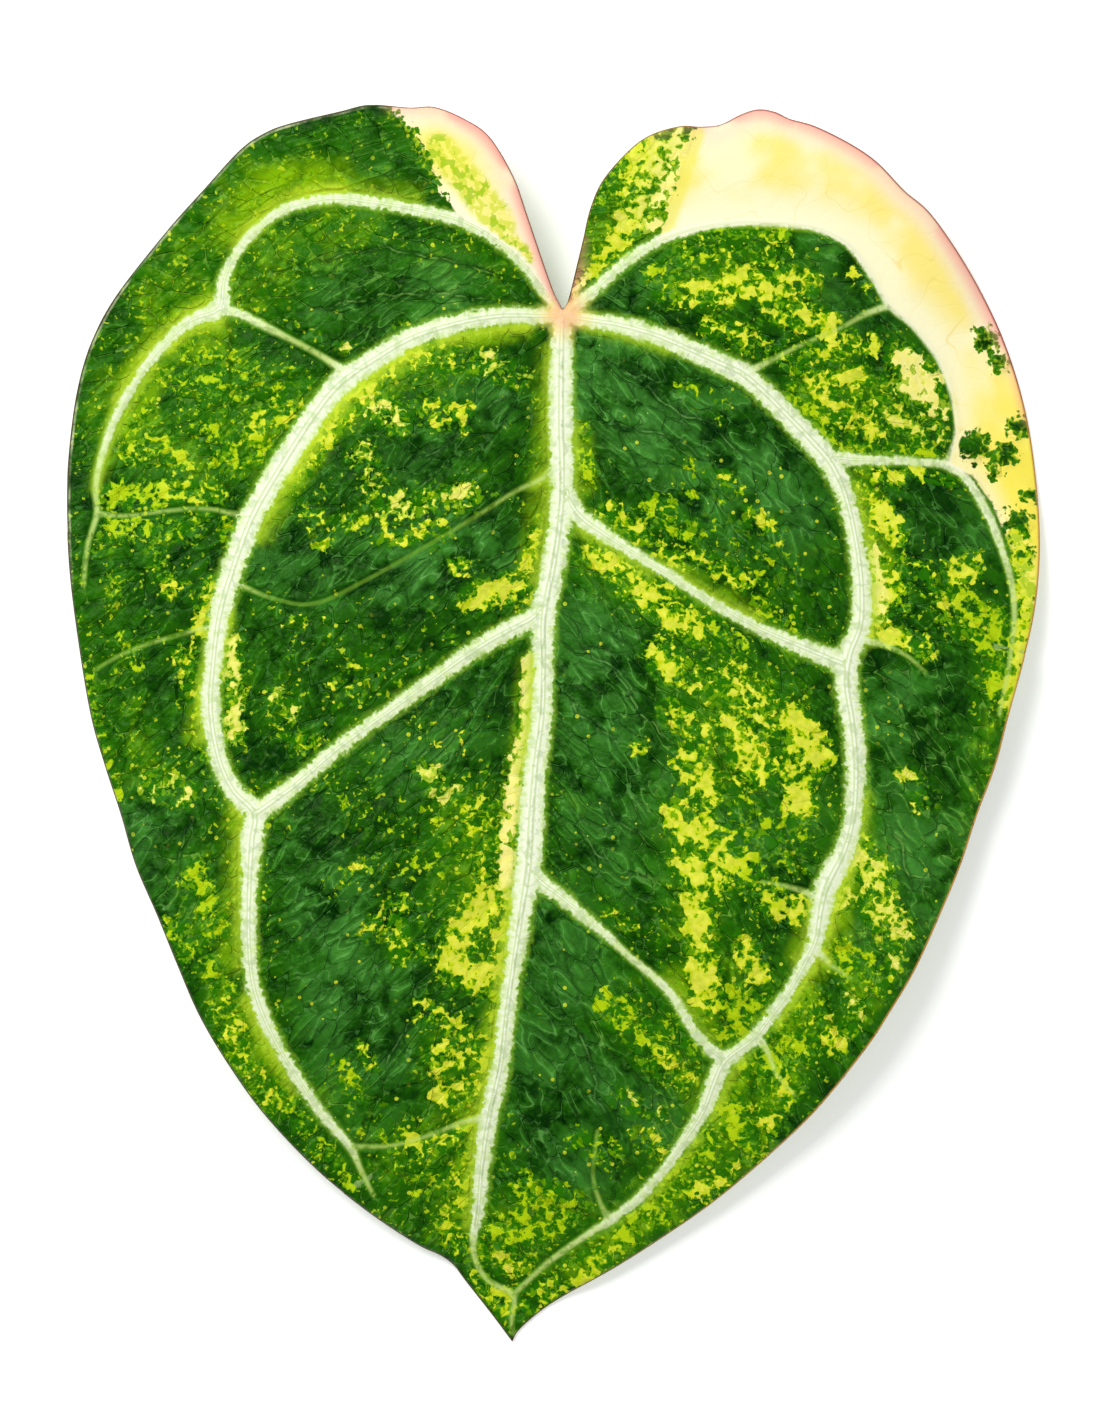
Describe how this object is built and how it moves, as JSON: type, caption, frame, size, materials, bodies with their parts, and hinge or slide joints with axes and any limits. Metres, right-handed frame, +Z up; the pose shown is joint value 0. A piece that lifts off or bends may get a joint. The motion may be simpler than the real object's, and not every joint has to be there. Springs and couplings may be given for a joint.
{
  "type": "variegated crystal anthurium leaf",
  "caption": "Cut heart-shaped leaf, lying face up, with thick pale veins, a quilted net between them and yellow and cream variegation.",
  "frame": {"origin": "on the surface the leaf lies on, under the middle of the leaf's plan", "axes": "+Z up, off the surface, out of the leaf's upper face; +Y along the leaf, away from the tip and towards the notch and the two lobes; +X to the right when the tip points at the viewer"},
  "size_m": [0.1954, 0.2479, 0.0167],
  "materials": {
    "leaf": "satin green leaf with yellow, lime and cream variegation and pale veins"
  },
  "bodies": {
    "root": {"leaf": "leaf"}
  },
  "joints": []
}
